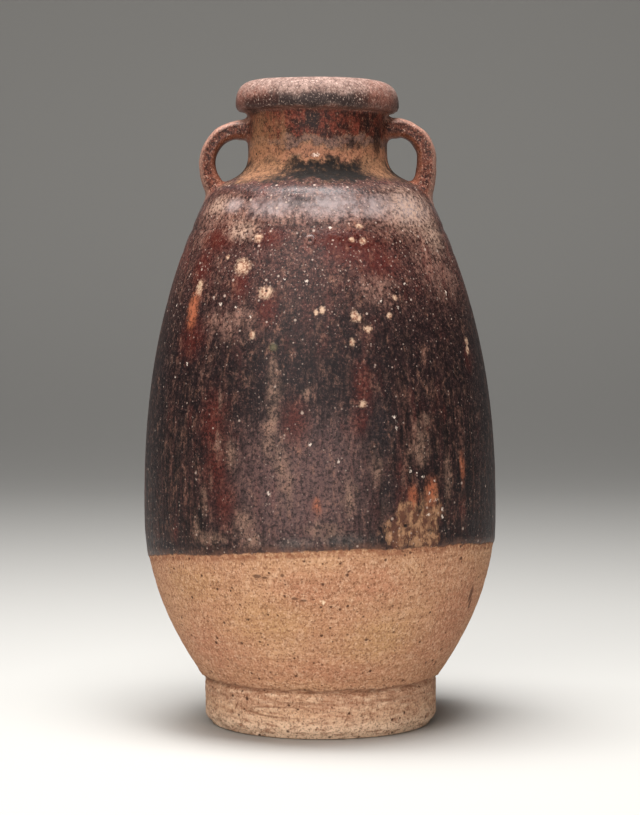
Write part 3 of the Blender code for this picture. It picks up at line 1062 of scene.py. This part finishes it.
class Coat:
    """A colour laid on in layers, each where the product of its masks says."""

    def __init__(self, paint, red, green, blue):
        self.paint = paint
        self.colour = tone(red, green, blue)

    def lay(self, colour, *masks):
        """Lay on the colour of another coat, or one given by its display values."""
        above = colour.colour if isinstance(colour, Coat) else tone(*colour)
        self.colour = self.paint.mix(self.paint.product(*masks), self.colour, above)


def clay_look(paint, fine, specks, dents):
    """Colour, roughness and relief of the bare clay."""
    clouds = paint.pattern(0.05, 3.0, 0.6)
    rows = paint.pattern(1.0, 3.0, 0.6, around=0.06, along=1.3)
    wiped = paint.pattern(0.8, 5.0, 0.75, around=0.30, along=1.1)
    foot = paint.span(paint.height, 13.4, 11.8)

    coat = Coat(paint, 196, 150, 114)
    coat.lay((186, 136, 104), (clouds, 0.38, 0.62))
    coat.lay((180, 118, 92), ("blush", 0.38), 0.50)
    coat.lay((186, 144, 96), ("yellow", 0.38), 0.45)
    coat.lay((148, 102, 74), (rows, 0.40, 0.62), 0.35)
    # Paler towards the foot and palest at its lower edge: the clay's own colour and painted light from
    # the front and below
    coat.lay((230, 190, 158), (paint.height, 14.0, 9.0), 0.40)
    coat.lay((250, 218, 188), (paint.height, 6.5, 1.0), 0.80)
    coat.lay((160, 110, 86), paint.band(paint.height, *FOOT_TOP, 0.6), 0.30)
    coat.lay((216, 176, 144), (paint.mottle, 0.50, 0.66), 0.45)
    coat.lay((130, 86, 62), (paint.crumb, 0.48, 0.34), 0.75)
    coat.lay((222, 182, 150), (paint.crumb, 0.56, 0.70), 0.45)
    coat.lay((148, 98, 72), foot, (wiped, 0.50, 0.36), 0.75)
    coat.lay((242, 208, 176), foot, (wiped, 0.50, 0.66), 0.60)
    coat.lay((104, 66, 46), (paint.grain, 0.46, 0.34), 0.80)
    coat.lay((238, 202, 170), (paint.grain, 0.56, 0.68), 0.60)

    tool = paint.band(paint.nearness(TOOL_OVAL), 0.42, 0.50, 0.06)
    tool = paint.product(tool, paint.blots(TOOL_START, paint.ragged, 0.4))
    tool = paint.larger(tool, paint.product(0.7, paint.blots(TOOL_GROOVES, paint.ragged, 0.4)))
    # The tool's lines are painted darker: painted shade in their grooves
    coat.lay((128, 84, 60), tool, 0.60)
    # Dark line along the groove where the foot meets the body: a stain and painted shade in the groove
    seam = paint.band(paint.level(0.5), *FOOT_SEAM, 0.35)
    coat.lay((112, 72, 52), seam, (paint.mottle, 0.35, 0.6, 0.35, 0.8))
    # Reddish band just below the glaze's edge: an iron stain in the clay and a painted shadow of the
    # edge
    halo_and_edge_shadow = paint.band(paint.over_line, -1.6, 0.4, 0.5)
    coat.lay((132, 78, 54), halo_and_edge_shadow, (paint.mottle, 0.42, 0.58), 0.7)

    marks = paint.blots(CLAY_DARK_MARKS, paint.ragged, 0.15)
    deep = paint.larger(paint.product(specks, 0.85), paint.product(dents, 0.90))
    dark = paint.larger(paint.product(fine, 0.60), paint.product(marks, 0.75))
    coat.lay((74, 42, 30), paint.larger(dark, deep))
    coat.lay((240, 208, 174), paint.blots(CLAY_PALE_CHIPS, paint.ragged, 0.15))

    roughness = paint.span(paint.grain, 0.3, 0.7, 0.80, 0.95)
    relief = paint.total(0.0, (paint.grain, 0.12), (paint.crumb, 0.30), (paint.mottle, 0.20))
    relief = paint.total(relief, (rows, 0.12), (deep, -0.24), (tool, -0.22))
    return coat, roughness, relief


def body_glaze(paint, upper, film_and_sheen, fine, specks):
    """Colour of the glaze on the body, with painted sheen on the shoulder and low on the front, and
    where the clay shows through it.
    """
    clouds = paint.pattern(0.085, 3.0, 0.55, along=0.45)
    reds = paint.pattern(0.16, 3.0, 0.6, along=0.35)
    runs = paint.pattern(0.36, 3.0, 0.7, along=0.055)
    below = paint.span(paint.height, 106.0, 92.0)
    maroon = paint.patches("maroon", 0.45)

    coat = Coat(paint, 17, 10, 11)
    coat.lay((56, 34, 32), (paint.streaks, 0.40, 0.62))
    coat.lay((26, 18, 20), (clouds, 0.46, 0.62), 0.6)
    coat.lay((64, 31, 27), upper, 0.50)
    coat.lay((86, 43, 37), (reds, 0.54, 0.70), 0.75)
    run_light = paint.product((runs, 0.53, 0.66), (paint.mottle, 0.38, 0.58))
    coat.lay((112, 76, 64), run_light, below, 0.50)
    coat.lay((24, 17, 18), (runs, 0.47, 0.36), below, 0.7)
    # Mauve low on the front: the glaze's tint and a painted sheen
    coat.lay((110, 83, 80), ("mauve_and_sheen", 0.40), 0.55)
    coat.lay((26, 16, 18), paint.band(paint.height, *MIDDLE_GLAZE, 6.0), 0.62)
    frost = paint.larger(paint.product(upper, 0.06), paint.product(0.62, ("frost", 0.5)))
    coat.lay((150, 112, 98), frost, (paint.mottle, 0.36, 0.60, 0.15, 1.0))
    coat.lay((76, 28, 22), maroon, 0.85)
    coat.lay((138, 108, 92), ("tan", 0.5), (paint.mottle, 0.36, 0.62, 0.20, 0.80))
    # Charcoal glaze, and painted shade on the body's left and right sides
    coat.lay((33, 27, 29), ("charcoal", 0.22), 0.85)
    coat.lay((84, 88, 84), ("grey_green", 0.40), 0.35)

    light_grain = paint.product((paint.grain, 0.56, 0.68), (upper, 0.0, 1.0, 0.18, 0.46))
    coat.lay((152, 106, 92), light_grain, paint.total(1.0, (maroon, -0.6)))
    coat.lay((140, 98, 86), (paint.crumb, 0.57, 0.72), 0.32)
    coat.lay((20, 12, 12), (paint.crumb, 0.50, 0.38), 0.75)
    coat.lay((16, 10, 10), (paint.grain, 0.48, 0.36), 0.75)
    coat.lay((66, 20, 15), maroon, upper, 0.55)
    ring = paint.band(paint.level(0.25), *SHOULDER_RING, 0.3)
    coat.lay((26, 15, 15), ring, (paint.mottle, 0.44, 0.60), 0.5)

    # Pale lilac-grey on the shoulder: a worn film, and a painted sheen of the light from above
    coat.lay((164, 149, 147), film_and_sheen, 0.60)
    coat.lay((172, 142, 124), ("beige", 0.55), (paint.crumb, 0.40, 0.58, 0.10, 0.80))
    fade = paint.span(paint.over_line, 2.4, 0.3)
    coat.lay((106, 74, 60), fade, (paint.mottle, 0.40, 0.60, 0.1, 0.6))

    bare = paint.product(("bare", 0.16), (paint.crumb, 0.34, 0.46, 0.5, 1.0))
    under = Coat(paint, 88, 56, 42)
    under.lay((158, 118, 88), (paint.mottle, 0.42, 0.60))
    under.lay((80, 50, 40), (paint.streaks, 0.48, 0.60), 0.6)
    coat.lay(under, bare)
    coat.lay((166, 94, 64), ("orange", 0.50), (paint.crumb, 0.38, 0.56, 0.25, 0.85))

    coat.lay((184, 160, 146), paint.larger(paint.product(fine, 0.38), paint.product(specks, 0.62)))
    cream = Coat(paint, 140, 96, 76)
    cream.lay((196, 164, 138), (paint.crumb, 0.38, 0.60))
    coat.lay(cream, paint.blots(CREAM_BLOTS, paint.ragged, 0.30), 0.85)
    coat.lay((112, 110, 80), paint.blots(GREEN_RINGS, paint.ragged, 0.3), 0.35)
    return coat, bare


def neck_glaze(paint):
    """Colour of the glaze on the neck, in bands that fade into each other, one of them a painted sheen.
    """
    level = paint.level(1.6)
    ochre = paint.patches("ochre", 0.45)
    red = Coat(paint, 48, 17, 13)
    red.lay((108, 40, 29), (paint.mottle, 0.40, 0.60))

    coat = Coat(paint, 74, 45, 32)
    coat.lay((144, 106, 80), (paint.mottle, 0.40, 0.60))
    coat.lay(red, paint.band(level, *RED_BAND, 0.7), 0.9)
    # Painted sheen: a grey band round the neck where its glaze mirrors the light
    coat.lay((110, 84, 78), paint.band(level, *SHEEN_BAND, 0.6), 0.7)
    coat.lay((162, 108, 82), paint.band(level, *ORANGE_BAND, 0.7), 0.75)
    coat.lay((150, 106, 76), ochre, 0.75)
    coat.lay((36, 22, 20), ("shadow", 0.25), 0.85)
    coat.lay((30, 17, 14), (paint.crumb, 0.50, 0.38), 0.60)
    coat.lay((176, 124, 98), (paint.grain, 0.54, 0.68), 0.45)
    coat.lay((24, 14, 11), (paint.grain, 0.47, 0.34), 0.75)
    olive = paint.product(paint.band(level, *OLIVE_BAND, 1.0), (paint.torn, 0.55, 0.0, 0.55, 1.0))
    coat.lay((20, 15, 12), olive, paint.rest(ochre))
    return coat


def lip_glaze(paint):
    """Colour of the lip: worn pale on top, with a charcoal belt round its side."""
    level = paint.level(0.9)
    belt = paint.band(paint.total(level, (paint.ragged, 2.5)), *LIP_BELT, 1.3)
    coat = Coat(paint, 106, 80, 71)
    coat.lay((142, 116, 106), (paint.mottle, 0.36, 0.64))
    coat.lay((32, 22, 22), belt, 0.92)
    coat.lay((132, 84, 71), ("rust", 0.45), 0.75)
    coat.lay((104, 64, 52), (level, 157.4, 156.4), 0.8)
    coat.lay((48, 26, 23), ("shadow", 0.25), 0.85)
    coat.lay((48, 32, 29), (paint.crumb, 0.48, 0.38), 0.45)
    coat.lay((44, 28, 25), (paint.grain, 0.48, 0.34), 0.70)
    coat.lay((196, 170, 156), (paint.grain, 0.55, 0.68), 0.55)
    return coat


def ear_glaze(paint):
    """Colour of the ears: pale on the outer ridge, red-brown in the channel, and lighter orange on the
    inner side, partly a painted highlight.
    """
    side = paint.noted("ear_side")
    coat = Coat(paint, 42, 19, 15)
    coat.lay((102, 58, 45), (paint.crumb, 0.38, 0.60))
    # Lighter orange on the inner side: the glaze's colour and a painted highlight
    coat.lay((140, 84, 62), (side, -0.25, -0.8), 0.6)
    coat.lay((166, 126, 110), (side, 0.30, 0.85), 0.65)
    coat.lay((188, 148, 128), (paint.grain, 0.55, 0.68), 0.60)
    coat.lay((38, 18, 14), (paint.grain, 0.48, 0.34), 0.80)
    return coat


def shoulder_film_and_sheen(paint):
    """Where a pale film lies on the glaze of the shoulder, which also carries a painted sheen of the
    light from above.
    """
    film_and_sheen = paint.patches("film_and_sheen", 0.45, paint.ragged)
    film_and_sheen = paint.product(film_and_sheen, (paint.mottle, 0.34, 0.60, 0.62, 1.0))
    return paint.product(film_and_sheen, (paint.wander, -0.7, 0.4, 0.55, 1.0))


def glaze_roughness(paint, bare):
    """Glossier round the shoulder, dull in the cove of the neck and where it is worn."""
    worn = paint.larger(bare, paint.span(paint.height, 159.5, 161.5))
    gloss = paint.band(paint.height, *SHOULDER_GLOSS, 2.0)
    dull = paint.band(paint.height, *COVE_DULL, 1.0)
    base = paint.span(paint.mottle, 0.3, 0.7, 0.34, 0.50)
    return paint.total(base, (gloss, -0.16), (dull, 0.40), (paint.grain, 0.10), (worn, 0.22))


def glaze_relief(paint, film_and_sheen, pits):
    """Fine relief of the glaze in millimetres, smoother under the shoulder's pale film and painted
    sheen.
    """
    ring_out = paint.blots(BLISTERS, 0.0, 0.10)
    ring_in = paint.math("GREATER_THAN", ring_out, 0.999)
    blister = paint.product(ring_out, paint.rest(ring_in))
    relief = paint.total(0.0, (paint.grain, 0.050), (paint.crumb, 0.080))
    relief = paint.total(relief, (paint.mottle, 0.090), (paint.streaks, 0.060))
    relief = paint.product(relief, (film_and_sheen, 0.0, 1.0, 1.0, 0.4))
    return paint.total(relief, (blister, 0.120), (pits, -0.200))


def stoneware():
    """The one finish of the bottle: bare clay below and iron glaze above its lower edge."""
    material = bpy.data.materials.new("iron glaze on buff stoneware")
    material.use_nodes = True
    shader = material.node_tree.nodes["Principled BSDF"]
    paint = Paint(material.node_tree)

    edge = paint.total(paint.over_line, (paint.ragged, 1.6))
    inner_clay = paint.product(paint.noted("hollow"), (paint.height, 150.0, 146.0))
    glazed = paint.product((edge, -0.25, 0.30), paint.rest(inner_clay))
    upper = paint.span(paint.height, *UPPER_GLAZE)
    busy = paint.larger(upper, paint.span(paint.height, 60.0, 46.0))
    fine = paint.spots(1.15, paint.total(0.20, (busy, 0.40)), 0.25)
    specks = paint.spots(0.46, paint.total(0.12, (busy, 0.40)), 0.17)
    dents = paint.spots(0.26, 0.80, 0.12)
    pits = paint.blots(SMALL_PITS, 0.0, 0.15)
    film_and_sheen = shoulder_film_and_sheen(paint)

    clay, clay_roughness, clay_relief = clay_look(paint, fine, specks, dents)
    coat, bare = body_glaze(paint, upper, film_and_sheen, fine, specks)
    coat.lay(neck_glaze(paint), (paint.level(1.4), *NECK_JOIN))
    coat.lay(lip_glaze(paint), (paint.height, *LIP_JOIN))
    coat.lay(ear_glaze(paint), paint.noted("ear"))
    chipped = paint.math("SUBTRACT", paint.centred(paint.grain, 2.6), 0.12)
    coat.lay((236, 216, 200), paint.blots(WHITE_CHIPS, chipped, 0.15), 0.65)
    coat.lay((22, 12, 10), paint.larger(pits, paint.product(dents, 0.5)), 0.9)

    roughness = paint.blend(glazed, clay_roughness, glaze_roughness(paint, bare))
    relief = paint.blend(glazed, clay_relief, glaze_relief(paint, film_and_sheen, pits))
    bump = paint.node("ShaderNodeBump", {"Strength": 1.0, "Distance": MM, "Height": relief})
    paint.feed(shader.inputs["Base Color"], paint.mix(glazed, clay.colour, coat.colour))
    paint.feed(shader.inputs["Roughness"], roughness)
    paint.feed(shader.inputs["Normal"], bump.outputs["Normal"])
    shader.inputs["Specular IOR Level"].default_value = SPECULAR_LEVEL
    return material


def plain_finish(name, colour, roughness):
    """Even finish without marks."""
    material = bpy.data.materials.new(name)
    material.use_nodes = True
    shader = material.node_tree.nodes["Principled BSDF"]
    shader.inputs["Base Color"].default_value = colour
    shader.inputs["Roughness"].default_value = roughness
    return material


def build_floor():
    """Pale floor that sweeps up behind the bottle."""
    sweep = [Vector((FLOOR_FRONT, 0.0)), Vector((FLOOR_BEND, 0.0))]
    bend_end = Vector((FLOOR_BACK, FLOOR_BEND_TOP))
    sweep += bend(sweep[-1], Vector((1.0, 0.0)), bend_end, UP, 0.55, FLOOR_STEPS)
    sweep.append(Vector((FLOOR_BACK, FLOOR_TOP)))
    work = bmesh.new()
    corners = [work.verts.new((-FLOOR_HALF_WIDTH, point.x, point.y)) for point in sweep]
    sides = [work.edges.new(pair) for pair in zip(corners, corners[1:])]
    drawn = bmesh.ops.extrude_edge_only(work, edges=sides)["geom"]
    across = (2.0 * FLOOR_HALF_WIDTH, 0.0, 0.0)
    bmesh.ops.translate(work, verts=only_verts(drawn), vec=across)
    mesh = finished_mesh(work, "pale sweep")
    mesh.shade_smooth()
    mesh.materials.append(plain_finish("pale paper", tone(178, 176, 172), 0.9))
    floor = in_scene("pale_sweep", mesh)


def add_softbox(name, place, aim, width, height, power, colour=(1.0, 1.0, 1.0)):
    """Rectangular light at a place, turned towards its aim."""
    light = bpy.data.lights.new(name, "AREA")
    light.shape = "RECTANGLE"
    light.size = width
    light.size_y = height
    light.energy = power
    light.color = colour
    lamp = in_scene(name, light)
    lamp.location = place
    lamp.rotation_euler = (Vector(aim) - Vector(place)).to_track_quat("-Z", "Y").to_euler()


def light_studio():
    """Overhead light, a larger key from the front left, a low front light and a weak fill."""
    middle = (0.0, 0.0, 0.09)
    warm = (1.0, 0.98, 0.95)
    add_softbox("overhead", (-0.03, -0.05, 0.60), (0.0, 0.0, 0.15), 0.46, 0.26, 8.0)
    add_softbox("key", (-0.30, -0.76, 0.62), middle, 0.80, 0.45, 5.0, warm)
    add_softbox("low front", (-0.10, -0.85, 0.05), (0.0, 0.0, 0.05), 0.85, 0.22, 3.3, warm)
    add_softbox("fill", (0.50, -0.80, 0.10), middle, 0.6, 0.4, 0.6)
    world = bpy.data.worlds.new("studio")
    world.use_nodes = True
    background = world.node_tree.nodes["Background"]
    background.inputs["Color"].default_value = (0.80, 0.80, 0.82, 1.0)
    background.inputs["Strength"].default_value = 0.10
    bpy.context.scene.world = world
    bpy.context.scene.view_settings.view_transform = "Standard"


def add_camera():
    """Long lens a little above the middle of the bottle, tilted slightly down."""
    camera = bpy.data.cameras.new("front view")
    camera.lens = CAMERA_LENS
    camera.sensor_width = CAMERA_SENSOR
    viewer = in_scene("front view", camera)
    viewer.location = (0.0, -CAMERA_DISTANCE, CAMERA_HEIGHT)
    viewer.rotation_euler = (math.radians(90.0 - CAMERA_TILT), 0.0, 0.0)
    bpy.context.scene.camera = viewer


bottle = build_bottle()
bottle.data.materials.clear()
bottle.data.materials.append(stoneware())
build_floor()
light_studio()
add_camera()
